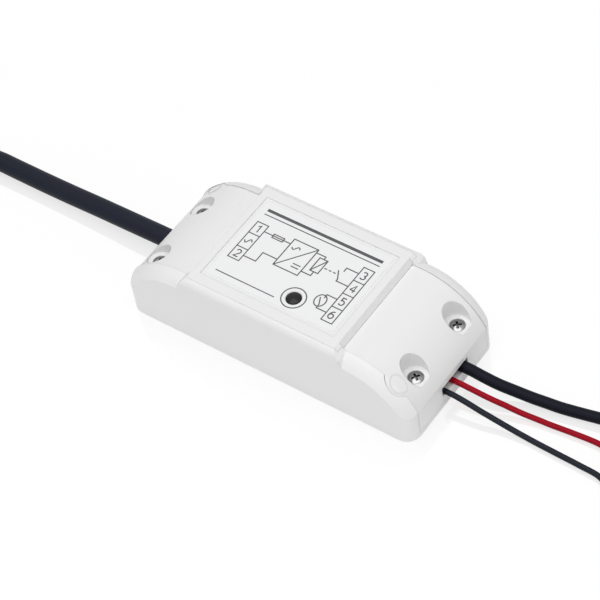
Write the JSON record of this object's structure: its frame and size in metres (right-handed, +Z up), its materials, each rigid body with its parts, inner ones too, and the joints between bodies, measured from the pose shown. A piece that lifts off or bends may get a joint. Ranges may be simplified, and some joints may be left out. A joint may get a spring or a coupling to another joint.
{
  "type": "garage door controller",
  "caption": "Small white mains-powered garage door controller with a raised lid, arched screwed end covers, a push button and captive leads at both ends.",
  "frame": {"origin": "centre of the case's underside", "axes": "+X along the case from the mains end to the output end, +Z up"},
  "size_m": [0.3414, 0.0486, 0.0267],
  "materials": {
    "white_shell": "satin",
    "label_film": "satin",
    "button_black": "gloss",
    "switch_black": "matte",
    "screw_nickel": "polished",
    "board_laminate": "gloss",
    "terminal_green": "satin",
    "relay_blue": "gloss",
    "ferrite": "matte",
    "winding_tape": "gloss",
    "can_sleeve": "gloss",
    "fuse_brown": "satin",
    "varistor_blue": "gloss",
    "chip_black": "matte",
    "chip_white": "matte",
    "choke_dark": "satin",
    "radio_board": "gloss",
    "shield_tin": "satin",
    "cord_black": "satin",
    "live_brown": "satin",
    "neutral_blue": "satin",
    "core_grey": "satin",
    "grip_nylon": "satin",
    "tie_black": "matte",
    "plug_black": "satin",
    "pin_brass": "polished",
    "wire_red": "satin",
    "wire_black": "satin",
    "tinned_copper": "satin"
  },
  "bodies": {
    "case": {"base": "white_shell", "lid": "white_shell", "label": "label_film", "mains_end_cover": "white_shell", "output_end_cover": "white_shell", "cover_screws": "screw_nickel", "switch_body": "switch_black", "circuit_board": "board_laminate", "board_screws": "screw_nickel", "mains_terminal": "terminal_green", "output_terminal": "terminal_green", "terminal_screws": "screw_nickel", "relay": "relay_blue", "transformer_core": "ferrite", "transformer_winding": "winding_tape", "bulk_capacitors": "can_sleeve", "output_capacitor": "can_sleeve", "fuse": "fuse_brown", "varistor": "varistor_blue", "bridge_rectifier": "chip_black", "optocoupler": "chip_white", "choke": "choke_dark", "wifi_module": "radio_board", "wifi_shield": "shield_tin", "control_chips": "chip_black", "mains_inner_cord": "cord_black", "live_core": "live_brown", "neutral_core": "neutral_blue", "mains_grip": "grip_nylon", "sensor_inner_cable": "cord_black", "sensor_inner_cores": "core_grey", "sensor_grip": "grip_nylon", "red_inner_wire": "wire_red", "black_inner_wire": "wire_black", "mains_cord": "cord_black", "mains_hank": "cord_black", "hank_tie": "tie_black", "mains_plug": "plug_black", "plug_pins": "pin_brass", "sensor_cable": "cord_black", "sensor_coil": "cord_black", "sensor_tie": "tie_black", "sensor_core_ends": "core_grey", "red_wire": "wire_red", "black_wire": "wire_black", "wire_tips": "tinned_copper"},
    "button": {"button_cap": "button_black", "switch_plunger": "switch_black"}
  },
  "joints": [
    {"name": "button_press", "type": "slide", "parent": "case", "child": "button", "axis": [0, 0, -1], "range_m": [0, 0.0004], "stiffness_N_per_m": 2000}
  ]
}
